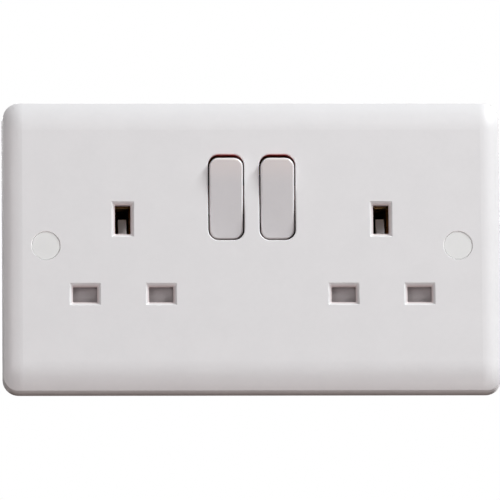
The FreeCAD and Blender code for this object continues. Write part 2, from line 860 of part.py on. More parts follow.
def relief(runs):
    """Room in the walls of the back moulding for a strip and its clearance."""
    grown = []
    for x, z in runs:
        x_limits = (x[0] - nest_clearance, x[1] + nest_clearance)
        z_limits = (z[0] - nest_clearance, z[1] + nest_clearance)
        grown.append(block(x_limits, (bar_front - nest_clearance, bar_back), z_limits))
    return grown


def housing_walls():
    """Everything that stands on the floor of the back moulding."""
    walls = []
    upright = (nest_front, bar_back)
    for _, _, x in pin_rows():
        half = (jaw_nest[0] + nest_wall, jaw_nest[1] + nest_wall)
        walls.append(block(about(x, half[0]), upright, about(pin_row, half[1])))
    for _, sign in SIDES:
        x = sign * socket_x
        around = nest_clearance + nest_wall
        half = earth_jaw_half + around
        z = (earth_jaw_bottom - around, earth_jaw_top + jaw_leaf + around)
        centre = (x, (z[0] + z[1]) / 2)
        tower = (2 * half, z[1] - z[0])
        walls.append(rounded_block(centre, tower, nest_wall, (nest_front, earth_end + floor_wall)))
        wall = sorted((sign * switch_wall[0], sign * switch_wall[1]))
        z = (rocker_row - aperture_length / 2, housing_top)
        walls.append(block(wall, (post_front, bar_back), z))
    middle = rocker_x - rocker_width / 2 - bore_clearance
    walls.append(block(about(0, middle), (post_front, bar_back), z))
    for _, x in TERMINALS:
        z = about(terminal_row, terminal_height / 2 + nest_clearance)
        walls.append(block(about(x, terminal_half), (terminal_front, bar_back), z))
        collar = clamp_head_radius + slide_clearance + nest_wall
        walls.append(rod_inward(collar, x, (bar_back, rear_depth + collar_height), terminal_row))
    for x, z in SCREW_PLACES:
        walls.append(rod_inward(well_tube, x, (boss_back, rear_depth), z))
    for _, sign in SIDES:
        between = about(sign * (terminal_x + socket_x) / 2, nest_wall / 2)
        proud = (bar_back, rear_depth + barrier_height)
        walls.append(block(between, proud, about(terminal_row, barrier_length / 2)))
    return walls


def housing_cuts():
    """The pockets, wells and openings of the back moulding."""
    cuts = relief(neutral_runs()) + relief(feed_runs()) + relief(earth_runs())
    for _, _, x in pin_rows():
        pocket = (nest_front - cut_past, bar_back)
        cuts.append(block(about(x, jaw_nest[0]), pocket, about(pin_row, jaw_nest[1])))
    for _, sign in SIDES:
        cuts += relief(line_runs(sign))
        x = sign * socket_x
        half = earth_jaw_half + nest_clearance
        z = (earth_jaw_bottom - nest_clearance, earth_jaw_top + jaw_leaf + nest_clearance)
        cuts.append(block(about(x, half), (nest_front - cut_past, earth_end), z))
        ramp_path = (slot_bottom - ramp_foot - shutter_thick - shutter_travel, earth_row)
        ramp_room = (nest_front - cut_past, ramp_depth + ramp_back + slide_clearance)
        cuts.append(block(about(x, ramp_width / 2 + slide_clearance), ramp_room, ramp_path))
        flag_half = pin_pitch / 2 + line_slot_width / 2 + flag_side + slide_clearance
        flag_path = (flag_bottom - shutter_travel - slide_clearance, flag_top + slide_clearance)
        cuts.append(block(about(x, flag_half), (face_wall - cut_past, nest_front), flag_path))
        boss = fixing_boss / 2 + slide_clearance
        cuts.append(rod_inward(boss, sign * fixing_x, (face_wall - cut_past, plate_depth), 0))
        width = about(sign * rocker_x, arm_width / 2 + nest_clearance)
        row = (shelf_row - fixed_tip_radius, shelf_row + fixed_tip_radius + bar_thick + nest_clearance)
        cuts.append(block(width, (nest_front, bar_back), row))
    for _, x in TERMINALS:
        half = terminal_width / 2 + nest_clearance
        z = about(terminal_row, terminal_height / 2 + nest_clearance)
        cuts.append(block(about(x, half), (nest_front, bar_back), z))
        mouth = (tunnel_front - nest_clearance, tunnel_back + nest_clearance)
        way_in = about(x, wire_tunnel / 2 + nest_clearance)
        cuts.append(block(way_in, mouth, (terminal_row, housing_top + cut_past)))
        driver = clamp_head_radius + slide_clearance
        cuts.append(rod_inward(driver, x, (bar_back, rear_depth + collar_height + cut_past), terminal_row))
    panel = (rear_depth - panel_depth, rear_depth + cut_past)
    panel_row = (earth_jaw_bottom + bottom_screw_row) / 2
    cuts.append(rounded_block((0, panel_row), (panel_width, panel_height), panel_corner, panel))
    for x, z in SCREW_PLACES:
        cuts.append(rod_inward(well_radius, x, (ledge_back, rear_depth + cut_past), z))
        through = (boss_back - cut_past, rear_depth)
        cuts.append(rod_inward(screw_radius + bore_clearance, x, through, z))
        boss = screw_boss_radius + slide_clearance
        cuts.append(rod_inward(boss, x, (face_wall - cut_past, boss_back), z))
    return cuts


def back_moulding():
    """The moulding behind the plate that nests the contacts and carries the terminals."""
    centre = (0, (housing_top + housing_bottom) / 2)
    size = (2 * housing_half, housing_top - housing_bottom)
    outside = rounded_block(centre, size, housing_corner, (face_wall, rear_depth))
    outside = outside.makeFillet(housing_edge, edges_at(outside, rear_depth))
    room_size = (size[0] - 2 * housing_wall, size[1] - 2 * housing_wall)
    room_corner = housing_corner - housing_wall
    room = rounded_block(centre, room_size, room_corner, (face_wall - cut_past, bar_back))
    tray = outside.cut(room)
    return joined([tray] + housing_walls()).cut(housing_cuts()).removeSplitter()


def main():
    """Build every piece and write each to its own file."""
    os.makedirs("parts", exist_ok=True)
    save("front_plate", [front_plate()])
    save("back_moulding", [back_moulding()])
    save("neutral_bar", [neutral_bar()])
    save("feed_bar", [feed_bar()])
    save("earth_bar", [earth_bar()])
    for side, sign in SIDES:
        switch_x = sign * rocker_x
        save(side + "_screw_cap", [screw_cap(sign * fixing_x)])
        save(side + "_rocker", [rocker(switch_x)])
        save(side + "_plunger", [plunger(switch_x)])
        save(side + "_plunger_spring", [plunger_spring(switch_x)])
        save(side + "_contact_arm", [contact_arm(switch_x)])
        save(side + "_moving_tip", [moving_tip(switch_x)])
        save(side + "_fixed_tip", [fixed_tip(switch_x)])
        save(side + "_line_contact", [line_contact(sign)])
        save(side + "_shutter", [shutter(sign * socket_x)])
        save(side + "_shutter_spring", [shutter_spring(sign * socket_x)])
    for name, x in TERMINALS:
        save(name + "_terminal", [terminal_block(x)])
    save("clamp_screws", [clamp_screw(x) for _, x in TERMINALS])
    save("housing_screws", [housing_screw(x, z) for x, z in SCREW_PLACES])


main()
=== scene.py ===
"""Dresses a two-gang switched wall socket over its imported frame.

X runs to the right and Z up as the user sees the face, Y runs into the wall, and Y = 0 is the wall
plane. The pieces and their finishes hold their sizes in millimetres and degrees, and the meshes are
made in metres. The studio holds its places in metres.
"""

import json
import logging
import math
from collections.abc import Mapping, Sequence
from dataclasses import dataclass
from enum import Enum
from typing import Any, Union

import bmesh
import bpy
from mathutils import Matrix, Quaternion, Vector

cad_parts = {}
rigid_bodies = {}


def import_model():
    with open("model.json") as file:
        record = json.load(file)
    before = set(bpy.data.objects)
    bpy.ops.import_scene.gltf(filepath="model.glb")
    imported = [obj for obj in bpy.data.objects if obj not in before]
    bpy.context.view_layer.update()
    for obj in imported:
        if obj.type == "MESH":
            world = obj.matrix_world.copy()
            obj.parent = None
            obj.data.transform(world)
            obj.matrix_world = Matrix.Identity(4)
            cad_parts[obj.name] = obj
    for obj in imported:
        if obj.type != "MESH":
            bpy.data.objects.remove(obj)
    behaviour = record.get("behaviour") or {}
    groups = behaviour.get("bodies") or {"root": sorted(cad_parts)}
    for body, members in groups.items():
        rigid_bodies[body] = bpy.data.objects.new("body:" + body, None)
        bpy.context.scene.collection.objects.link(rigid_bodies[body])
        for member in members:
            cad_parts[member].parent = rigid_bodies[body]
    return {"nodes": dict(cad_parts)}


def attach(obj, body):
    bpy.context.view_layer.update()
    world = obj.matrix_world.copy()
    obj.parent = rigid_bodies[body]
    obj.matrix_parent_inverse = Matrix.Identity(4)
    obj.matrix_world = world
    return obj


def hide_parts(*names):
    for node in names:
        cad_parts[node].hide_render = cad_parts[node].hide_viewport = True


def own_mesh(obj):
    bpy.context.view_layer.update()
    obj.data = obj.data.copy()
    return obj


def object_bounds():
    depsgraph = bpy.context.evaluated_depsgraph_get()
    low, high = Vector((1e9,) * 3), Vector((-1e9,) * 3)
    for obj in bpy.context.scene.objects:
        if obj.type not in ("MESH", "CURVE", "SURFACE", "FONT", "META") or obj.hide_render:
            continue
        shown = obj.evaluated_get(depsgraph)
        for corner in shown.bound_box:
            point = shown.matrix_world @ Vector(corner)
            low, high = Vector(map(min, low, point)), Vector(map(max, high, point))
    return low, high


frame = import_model()
cad_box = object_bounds()

log = logging.getLogger("wall_socket")

Colour = tuple[float, float, float]
Triple = tuple[float, float, float]
Span = tuple[float, float]
Number = Union[int, float, "Field"]

MM = 0.001
QUAD = 4
ROUND_PROFILE = 0.5

# Half the plate's width and height.
PLATE_HALF: Span = (cad_box[1][0] / MM, cad_box[1][2] / MM)

# The line that the rockers turn about, along Y and Z, and their slant at rest.
ROCKER_PIVOT: Span = (-5.2, 14.45)
ROCKER_TILT = 7.5

# A Mix node's colour sockets, which share their names with its other kinds of socket.
MIX_FIRST, MIX_SECOND, MIX_RESULT = 6, 7, 2

# The middle of a noise's range, and the part of it that fades from one colour to the other.
NOISE_MIDDLE = 0.5
CLOUD_SPAN: Span = (0.3, 0.7)


class Side(Enum):
    """The two halves of the socket, with the sign of their X."""

    LEFT = -1
    RIGHT = 1

    def node(self, piece: str) -> str:
        """The name of a piece on this side."""
        return f"{self.name.lower()}_{piece}"


class Grain(Enum):
    """Which way a metal's fine marks run, as stretches of a noise along X, Y and Z."""

    ROLLED = (0.08, 1.0, 1.0)
    UPRIGHT = (1.0, 1.0, 0.08)
    INWARD = (1.0, 0.1, 1.0)
    EVEN = (1.0, 1.0, 1.0)


class Field:
    """A number that varies over a surface; arithmetic with it adds Math nodes."""

    def __init__(self, sheet: "Sheet", socket: bpy.types.NodeSocket) -> None:
        """Keep an output socket and the sheet it is on."""
        self.sheet = sheet
        self.socket = socket

    def math(self, operation: str, first: Number, second: Number = 0.0) -> "Field":
        """Add one Math node.

        Args:
            operation: The Math node's operation.
            first: Its first value.
            second: Its second value.

        Returns:
            The node's result.
        """
        made = self.sheet.node("ShaderNodeMath", {"operation": operation}, {0: first, 1: second})
        return Field(self.sheet, made.outputs[0])

    def __add__(self, other: Number) -> "Field":
        """The sum."""
        return self.math("ADD", self, other)

    __radd__ = __add__

    def __sub__(self, other: Number) -> "Field":
        """The difference."""
        return self.math("SUBTRACT", self, other)

    def __rsub__(self, other: Number) -> "Field":
        """The difference, with this number taken away."""
        return self.math("SUBTRACT", other, self)

    def __mul__(self, other: Number) -> "Field":
        """The product."""
        return self.math("MULTIPLY", self, other)

    __rmul__ = __mul__

    def __pow__(self, other: Number) -> "Field":
        """The power."""
        return self.math("POWER", self, other)

    def __gt__(self, other: Number) -> "Field":
        """1 where this number is the larger, 0 elsewhere."""
        return self.math("GREATER_THAN", self, other)

    def __lt__(self, other: Number) -> "Field":
        """1 where this number is the smaller, 0 elsewhere."""
        return self.math("LESS_THAN", self, other)

    def __abs__(self) -> "Field":
        """The size without its sign."""
        return self.math("ABSOLUTE", self)


class Sheet:
    """A node tree that is filled through one method."""

    def __init__(self, tree: bpy.types.NodeTree) -> None:
        """Take over a tree and empty it."""
        self.tree = tree
        tree.nodes.clear()

    def node(
        self,
        kind: str,
        settings: Mapping[str, Any] | None = None,
        sockets: Mapping[str | int, Any] | None = None,
    ) -> bpy.types.Node:
        """Add a node.

        Args:
            kind: The node's type.
            settings: Its properties, set first.
            sockets: Values or links for its inputs, by name or number.

        Returns:
            The node.
        """
        made = self.tree.nodes.new(kind)
        for key, value in (settings or {}).items():
            setattr(made, key, value)
        for key, value in (sockets or {}).items():
            source = value.socket if isinstance(value, Field) else value
            if isinstance(source, bpy.types.NodeSocket):
                self.tree.links.new(source, made.inputs[key])
            else:
                made.inputs[key].default_value = source
        return made


class Surface(Sheet):
    """The node tree of one finish, laid out in millimetres on the piece."""

    BEVEL_SAMPLES = 6
    EDGE_SPAN: Span = (0.02, 0.25)

    def __init__(self, name: str) -> None:
        """Start a material and find its place on the piece.

        Args:
            name: The material's name.
        """
        self.material = bpy.data.materials.new(name)
        self.material.use_nodes = True
        super().__init__(self.material.node_tree)
        where = self.node("ShaderNodeTexCoord").outputs["Object"]
        scaled = self.node(
            "ShaderNodeVectorMath", {"operation": "SCALE"}, {0: where, "Scale": 1 / MM}
        )
        self.place = scaled.outputs[0]

    def axes(self) -> tuple[Field, Field, Field]:
        """The place along X, Y and Z, in millimetres."""
        split = self.node("ShaderNodeSeparateXYZ", sockets={0: self.place})
        return tuple(Field(self, out) for out in split.outputs)

    def noise(self, size: float, detail: float = 2.0, stretch: Triple = Grain.EVEN.value) -> Field:
        """Soft noise about 0.5.

        Args:
            size: The size of its largest lumps, in millimetres.
            detail: How many finer layers it has.
            stretch: The share of its fineness kept along X, Y and Z.

        Returns:
            The noise, from 0 to 1.
        """
        place = self.node(
            "ShaderNodeVectorMath", {"operation": "MULTIPLY"}, {0: self.place, 1: stretch}
        )
        made = self.node(
            "ShaderNodeTexNoise",
            sockets={"Vector": place.outputs[0], "Scale": 1 / size, "Detail": detail},
        )
        return Field(self, made.outputs[0])

    def ramp(self, value: Number, start: float, end: float) -> Field:
        """A smooth step from 0 at start to 1 at end.

        Args:
            value: The number to follow.
            start: Where the step starts.
            end: Where it ends, above or below its start.

        Returns:
            The step.
        """
        made = self.node(
            "ShaderNodeMapRange",
            {"interpolation_type": "SMOOTHSTEP"},
            {0: value, 1: start, 2: end},
        )
        return Field(self, made.outputs[0])

    def mix(self, share: Number, low: Any, high: Any) -> bpy.types.NodeSocket:
        """Mix two colours.

        Args:
            share: How much of the second colour shows.
            low: The first colour, or a socket that gives it.
            high: The second colour, or a socket that gives it.

        Returns:
            The mixed colour.
        """
        first, second = ((*c, 1.0) if isinstance(c, tuple) else c for c in (low, high))
        made = self.node(
            "ShaderNodeMix",
            {"data_type": "RGBA"},
            {0: share, MIX_FIRST: first, MIX_SECOND: second},
        )
        return made.outputs[MIX_RESULT]

    def rounded(self, radius: float) -> bpy.types.NodeSocket:
        """The surface's direction with every edge rounded over, for a radius in millimetres."""
        settings = {"samples": self.BEVEL_SAMPLES}
        return self.node("ShaderNodeBevel", settings, {"Radius": radius * MM}).outputs[0]

    def edges(self, radius: float) -> Field:
        """Find the sharp edges.

        Args:
            radius: How far a mark reaches from its edge, in millimetres.

        Returns:
            A mask that is 1 along the edges.
        """
        true = self.node("ShaderNodeNewGeometry").outputs["Normal"]
        made = self.node(
            "ShaderNodeVectorMath",
            {"operation": "DOT_PRODUCT"},
            {0: self.rounded(radius), 1: true},
        )
        return self.ramp(1.0 - Field(self, made.outputs["Value"]), *self.EDGE_SPAN)

    def relief(self, height: Field, depth: float, rounding: float) -> bpy.types.NodeSocket:
        """Turn a height into the surface's direction.

        Args:
            height: The height, from 0 to 1.
            depth: How deep a height of 1 is, in millimetres.
            rounding: The radius that sharp edges are rounded to, in millimetres.

        Returns:
            The direction.
        """
        made = self.node(
            "ShaderNodeBump",
            sockets={"Distance": depth * MM, "Height": height, "Normal": self.rounded(rounding)},
        )
        return made.outputs[0]

    def shade(self, sockets: Mapping[str, Any]) -> bpy.types.Material:
        """Close the tree with its shader.

        Args:
            sockets: The shader's values and links.

        Returns:
            The material.
        """
        shader = self.node("ShaderNodeBsdfPrincipled", sockets=sockets)
        self.node("ShaderNodeOutputMaterial", sockets={0: shader.outputs[0]})
        return self.material


@dataclass(frozen=True)
class Moulding:
    """A moulded plastic with faint clouds and a fine skin."""

    name: str
    colour: Colour
    shade: Colour
    roughness: float
    mottle: float = 9.0
    mottle_detail: float = 3.0
    cloud_share: float = 0.7
    fleck_ratio: float = 6.0
    polish_range: float = 0.12
    polish_ratio: float = 1.7
    skin: float = 0.45
    skin_depth: float = 0.0012
    rounding: float = 0.12
    specular: float = 0.5

    def tint(self, surface: Surface) -> bpy.types.NodeSocket:
        """Mix the colour with its shade, in clouds and small flecks.

        Args:
            surface: The tree to add to.

        Returns:
            The colour.
        """
        clouds = surface.noise(self.mottle, self.mottle_detail)
        flecks = surface.noise(self.mottle / self.fleck_ratio)
        mottled = self.cloud_share * clouds + (1 - self.cloud_share) * flecks
        return surface.mix(surface.ramp(mottled, *CLOUD_SPAN), self.shade, self.colour)

    def material(self) -> bpy.types.Material:
        """Make the material.

        Returns:
            The material.
        """
        surface = Surface(self.name)
        polish = surface.noise(self.mottle * self.polish_ratio, self.mottle_detail) - NOISE_MIDDLE
        skin = surface.noise(self.skin)
        return surface.shade(
            {
                "Base Color": self.tint(surface),
                "Roughness": self.roughness + self.polish_range * polish,
                "Specular IOR Level": self.specular,
                "Normal": surface.relief(skin, self.skin_depth, self.rounding),
            }
        )


@dataclass(frozen=True)
class PlateMoulding(Moulding):
    """The plate's plastic, with painted shade under its lower edge and inside its openings and a
    painted red reflection round the rockers.
    """

    half: Span = PLATE_HALF
    corner: float = 4.7
    wall: float = 0.6
    # Painted shade on the lower outer wall, darkest towards the rim at the wall.
    painted_wall_shade: Colour = (0.33, 0.305, 0.295)
    painted_wall_shade_share: float = 0.95
    painted_wall_shade_reach: Span = (-6.8, 0.0)
    painted_wall_shade_rise: Span = (1.5, 0.5)
    rim_lip: float = 0.02
    slot_shade: Colour = (0.62, 0.53, 0.525)
    slot_across: Span = (20.0, 53.0)
    slot_up: Span = (-20.0, 14.0)
    slot_reach: Span = (-9.15, -7.9)
    # Painted shade low in the rocker openings, turning into a painted red reflection of the
    # rocker's band higher up.
    gap_painted_shade: Colour = (0.16, 0.10, 0.09)
    gap_painted_red_reflection: Colour = (0.62, 0.26, 0.24)
    gap_half: float = 13.2
    gap_up: Span = (-2.0, 28.0)
    gap_reach: Span = (-8.9, -8.2)
    # Painted shade on the lower part and painted light on the upper part of the ring round each
    # cap, to even out its shading.
    seat_painted_shade: Colour = (0.66, 0.66, 0.66)
    seat_painted_light: Colour = (0.99, 0.99, 0.99)
    seat_turn: Span = (-3.0, 0.5)
    seat_x: float = 60.3
    seat_reach: Span = (4.40, 4.30)

    def painted_wall_shade_mask(self, surface: Surface) -> Field:
        """Find the lower outer wall, which takes painted shade that darkens towards its rim.

        Args:
            surface: The tree to add to.

        Returns:
            The share of the painted shade.
        """
        across, inward, up = surface.axes()
        past_side, past_end = (
            place.math("MAXIMUM", abs(place) - (half - self.corner), 0.0)
            for place, half in zip((across, up), self.half)
        )
        from_corner = (past_side ** 2 + past_end ** 2) ** 0.5
        outer = (from_corner > self.corner - self.wall) * (inward < -self.rim_lip)
        below = surface.ramp(up, *(rise - self.half[1] for rise in self.painted_wall_shade_rise))
        return outer * below * surface.ramp(inward, *self.painted_wall_shade_reach) * self.painted_wall_shade_share

    def in_slots(self, surface: Surface) -> Field:
        """Find the walls of the pin slots.

        Args:
            surface: The tree to add to.

        Returns:
            A mask that grows with the depth.
        """
        across, inward, up = surface.axes()
        near, far = self.slot_across
        low, high = self.slot_up
        slots = (abs(across) > near) * (abs(across) < far) * (up > low) * (up < high)
        return slots * surface.ramp(inward, *self.slot_reach)

    def in_gaps(self, surface: Surface) -> Field:
        """Find the walls round the rockers, which take painted shade and a painted red reflection.

        Args:
            surface: The tree to add to.

        Returns:
            A mask that grows with the depth.
        """
        across, inward, up = surface.axes()
        low, high = self.gap_up
        gaps = (abs(across) < self.gap_half) * (up > low) * (up < high)
        return gaps * surface.ramp(inward, *self.gap_reach)

    def tint(self, surface: Surface) -> bpy.types.NodeSocket:
        """Paint shade on the lower wall and in the openings, a red reflection round the rockers,
        and light and shade that even out the rings round the caps.

        Args:
            surface: The tree to add to.

        Returns:
            The colour.
        """
        across, _, up = surface.axes()
        from_cap = ((abs(across) - self.seat_x) ** 2 + up ** 2) ** 0.5
        on_seat = surface.ramp(from_cap, *self.seat_reach)
        # Painted light and shade on the rings round the caps.
        ring_painted_light_and_shade = surface.mix(surface.ramp(up, *self.seat_turn), self.seat_painted_shade, self.seat_painted_light)
        # Painted shade and painted red reflection on the walls round the rockers.
        gap_painted_light_and_shade = surface.mix(surface.ramp(up, *self.gap_up), self.gap_painted_shade, self.gap_painted_red_reflection)
        colour = surface.mix(on_seat, super().tint(surface), ring_painted_light_and_shade)
        # Painted shade on the lower outer wall.
        colour = surface.mix(self.painted_wall_shade_mask(surface), colour, self.painted_wall_shade)
        colour = surface.mix(self.in_slots(surface), colour, self.slot_shade)
        return surface.mix(self.in_gaps(surface), colour, gap_painted_light_and_shade)


@dataclass(frozen=True)
class RockerMoulding(Moulding):
    """The rocker's plastic, with the red band that shows above it when it is on."""

    band: Colour = (0.52, 0.012, 0.010)
    band_start: float = 11.65
    band_reach: Span = (-3.60, -3.50)
    # The skirt below the face takes some of the band's red, as painted red reflection and shade in
    # the gap round the rocker.
    skirt_reach: Span = (-2.7, -2.3)
    skirt_painted_reflection_share: float = 0.6
    # Painted red reflection of the band, warming the upper end of the face.
    crest_painted_reflection: Colour = (0.795, 0.75, 0.745)
    crest_painted_reflection_span: Span = (3.0, 12.0)
    # Painted highlight: the rocker's edges and sides are paler than its face.
    edge: Colour = (0.93, 0.915, 0.92)
    edge_painted_highlight_reach: Span = (-4.22, -3.95)

    def tint(self, surface: Surface) -> bpy.types.NodeSocket:
        """Add a painted red reflection on the upper end, painted highlights along the edges, the
        band, and painted red reflection and shade on the hidden skirt.

        Args:
            surface: The tree to add to.

        Returns:
            The colour.
        """
        turn = math.radians(ROCKER_TILT)
        _, inward, up = surface.axes()
        inward = inward - ROCKER_PIVOT[0]
        up = up - ROCKER_PIVOT[1]
        along = up * math.cos(turn) - inward * math.sin(turn)
        depth = inward * math.cos(turn) + up * math.sin(turn)
        band = (along > self.band_start) * surface.ramp(depth, *self.band_reach)
        # Painted red reflection and shade on the skirt.
        skirt_painted_reflection_and_shade = surface.ramp(depth, *self.skirt_reach) * self.skirt_painted_reflection_share
        # Painted red reflection on the upper end.
        crest_painted_reflection = surface.ramp(along, *self.crest_painted_reflection_span)
        colour = surface.mix(crest_painted_reflection, super().tint(surface), self.crest_painted_reflection)
        # Painted highlight along the rocker's edges.
        colour = surface.mix(surface.ramp(depth, *self.edge_painted_highlight_reach), colour, self.edge)
        return surface.mix(band, surface.mix(skirt_painted_reflection_and_shade, colour, self.band), self.band)


@dataclass(frozen=True)
class ShutterMoulding(Moulding):
    """The shutters' plastic, darkened as painted shade, with painted light on the ramp that the
    earth pins slide down.
    """

    # Painted light: the ramp is paler than the shaded blades and palest at its foot.
    ramp: Colour = (0.66, 0.625, 0.62)
    ramp_span: Span = (-4.0, -1.0)
    wear_and_painted_light: Colour = (0.98, 0.96, 0.96)
    ramp_light_span: Span = (9.0, 3.0)

    def tint(self, surface: Surface) -> bpy.types.NodeSocket:
        """Paint light on the ramp over the darker colour, brightest at its foot.

        Args:
            surface: The tree to add to.

        Returns:
            The colour.
        """
        _, _, up = surface.axes()
        # Painted light on the ramp.
        painted_ramp_light = surface.mix(surface.ramp(up, *self.ramp_light_span), self.ramp, self.wear_and_painted_light)
        return surface.mix(surface.ramp(up, *self.ramp_span), super().tint(surface), painted_ramp_light)


@dataclass(frozen=True)
class DarkMoulding(Moulding):
    """The back's dark plastic, scuffed pale along its edges."""

    scuff: Colour = (0.17, 0.17, 0.172)
    scuff_share: float = 0.35
    scuff_width: float = 0.25
    scuff_size: float = 1.6
    scuff_detail: float = 4.0
    scuff_span: Span = (0.42, 0.68)

    def tint(self, surface: Surface) -> bpy.types.NodeSocket:
        """Make the dark colour paler where the edges have rubbed.

        Args:
            surface: The tree to add to.

        Returns:
            The colour.
        """
        patches = surface.noise(self.scuff_size, self.scuff_detail)
        wear_and_painted_light = surface.edges(self.scuff_width) * surface.ramp(patches, *self.scuff_span)
        return surface.mix(wear_and_painted_light * self.scuff_share, super().tint(surface), self.scuff)


@dataclass(frozen=True)
class Metal:
    """A bare or plated metal with drawn, rolled or turned marks and a little tarnish."""

    name: str
    colour: Colour
    tarnish: Colour
    roughness: float
    grain: Grain = Grain.EVEN
    grain_size: float = 0.25
    grain_detail: float = 3.0
    grain_depth: float = 0.0015
    grain_dulling: float = 0.16
    stain_size: float = 3.0
    stain_detail: float = 4.0
    stain_span: Span = (0.38, 0.72)
    stain_share: float = 0.45
    stain_dulling: float = 0.14
    rounding: float = 0.1
    bright_width: float = 0.2
    bright_share: float = 0.8

    def material(self) -> bpy.types.Material:
        """Make the material, with its edges rubbed bright.

        Returns:
            The material.
        """
        surface = Surface(self.name)
        stain = surface.ramp(surface.noise(self.stain_size, self.stain_detail), *self.stain_span)
        marks = surface.noise(self.grain_size, self.grain_detail, self.grain.value)
        kept = 1.0 - self.bright_share * surface.edges(self.bright_width)
        dulling = self.stain_dulling * stain + self.grain_dulling * (marks - NOISE_MIDDLE)
        return surface.shade(
            {
                "Base Color": surface.mix(
                    stain * self.stain_share * kept, self.colour, self.tarnish
                ),
                "Metallic": 1.0,
                "Roughness": self.roughness + dulling,
                "Normal": surface.relief(marks, self.grain_depth, self.rounding),
            }
        )


PLATE_WHITE = PlateMoulding(
    "plate_white", (0.815, 0.819, 0.828), (0.795, 0.799, 0.808), roughness=0.36, rounding=0.04
)
CAP_WHITE = Moulding(
    "cap_white", (0.832, 0.848, 0.842), (0.812, 0.828, 0.822), roughness=0.38,
    mottle=5.0, rounding=0.03,
)
# The rocker's white is darker than the plate's, as painted shade for its tilted face.
SHADED_ROCKER_WHITE = RockerMoulding(
    "rocker_white", (0.73, 0.722, 0.736), (0.71, 0.702, 0.716), roughness=0.20,
    mottle=6.0, specular=0.8,
)
NYLON = Moulding(
    "nylon", (0.74, 0.71, 0.71), (0.69, 0.66, 0.66), roughness=0.46, mottle=2.5, skin=0.3
)
# Dark as painted shade: the shutters sit deep in the slots.
SHADED_SHUTTER_NYLON = ShutterMoulding(
    "shutter_nylon", (0.36, 0.335, 0.34), (0.33, 0.305, 0.31), roughness=0.46,
    mottle=2.5, skin=0.3,
)
BACK_BLACK = DarkMoulding(
    "back_black", (0.046, 0.046, 0.047), (0.034, 0.034, 0.035), roughness=0.44,
    mottle=7.0, skin=0.35, skin_depth=0.004, rounding=0.15,
)
LETTER_GREY = Moulding(
    "letter_grey", (0.15, 0.15, 0.152), (0.12, 0.12, 0.122), roughness=0.5, mottle=1.5
)
BRASS = Metal(
    "stamped_brass", (0.86, 0.56, 0.26), (0.48, 0.26, 0.11), roughness=0.27, grain=Grain.ROLLED
)
TERMINAL_BRASS = Metal(
    "drawn_brass", (0.85, 0.62, 0.29), (0.50, 0.30, 0.12), roughness=0.24,
    grain=Grain.UPRIGHT, stain_share=0.3,
)
SILVER = Metal(
    "contact_silver", (0.90, 0.89, 0.86), (0.48, 0.44, 0.38), roughness=0.22, stain_size=1.2
)
ZINC = Metal(
    "zinc_plate", (0.70, 0.72, 0.74), (0.46, 0.46, 0.47), roughness=0.30,
    grain=Grain.INWARD, stain_size=1.4,
)
SPRING_STEEL = Metal(
    "spring_steel", (0.46, 0.45, 0.44), (0.25, 0.22, 0.19), roughness=0.30, grain_size=0.12
)


def coat(finish: bpy.types.Material, *nodes: str) -> None:
    """Give CAD nodes a finish.

    Args:
        finish: The material.
        nodes: The names of the nodes.
    """
    for name in nodes:
        for place in frame["nodes"][name].material_slots:
            place.material = finish
        log.info("%s wears %s", name, finish.name)


def finished(mesh: bmesh.types.BMesh, name: str, finish: bpy.types.Material) -> bpy.types.Object:
    """Close a mesh into a piece at the origin.

    Args:
        mesh: The mesh, in metres.
        name: The piece's name.
        finish: The piece's material.

    Returns:
        The piece.
    """
    data = bpy.data.meshes.new(name)
    mesh.to_mesh(data)
    mesh.free()
    data.materials.append(finish)
    piece = bpy.data.objects.new(name, data)
    bpy.context.scene.collection.objects.link(piece)
    return piece


@dataclass(frozen=True)
class CoilSpring:
    """A round-wire compression spring with closed ends."""

    wire: float
    mean_radius: float
    length: float
    open_turns: float
    end_turns: float = 1.0
    ring_sides: int = 10
    turn_steps: int = 28

    def build(self, name: str, place: Matrix, steel: bpy.types.Material) -> bpy.types.Object:
        """Wind the spring along Z from the origin and set it in its place.

        Args:
            name: The piece's name.
            place: Where the spring's foot and axis go, in metres.
            steel: The wire's finish.

        Returns:
            The piece.
        """
        mesh = bmesh.new()
        ring = bmesh.ops.create_circle(
            mesh, segments=self.ring_sides, radius=self.wire / 2, cap_ends=True
        )
        start = Matrix.Translation((self.mean_radius, 0, self.wire / 2))
        upright = Matrix.Rotation(math.pi / 2, 4, "X")
        bmesh.ops.transform(mesh, matrix=start @ upright, verts=ring["verts"])
        rise = self.length - self.wire * (1 + 2 * self.end_turns)
        closed = (self.end_turns, self.wire * self.end_turns)
        geometry = list(mesh.faces) + list(mesh.edges) + list(mesh.verts)
        for turns, climb in (closed, (self.open_turns, rise), closed):
            geometry = self.wind(mesh, geometry, turns, climb)
        bmesh.ops.recalc_face_normals(mesh, faces=mesh.faces)
        for face in mesh.faces:
            face.smooth = len(face.verts) == QUAD
        bmesh.ops.transform(mesh, matrix=place @ Matrix.Scale(MM, 4), verts=mesh.verts)
        return finished(mesh, name, steel)

    def wind(
        self, mesh: bmesh.types.BMesh, geometry: list[Any], turns: float, climb: float
    ) -> list[Any]:
        """Carry the wire's end round some turns.

        Args:
            mesh: The mesh to wind in.
            geometry: The face that ends the wire, with its edges and corners.
            turns: How far round it goes.
            climb: How far it rises on the way.

        Returns:
            The new end of the wire.
        """
        steps = round(turns * self.turn_steps)
        wound = bmesh.ops.spin(
            mesh, geom=geometry, cent=(0, 0, 0), axis=(0, 0, 1), dvec=(0, 0, climb / steps),
            angle=turns * math.tau, steps=steps, use_merge=False, use_duplicate=False,
        )
        return wound["geom_last"]


@dataclass
class FacePlate:
    """The moulded plate and the caps over its wall screws."""

    finish: Moulding = PLATE_WHITE
    cap_finish: Moulding = CAP_WHITE

    def dress(self) -> None:
        """Give the plate and the caps their finish."""
        coat(self.finish.material(), "front_plate")
        coat(self.cap_finish.material(), *(side.node("screw_cap") for side in Side))


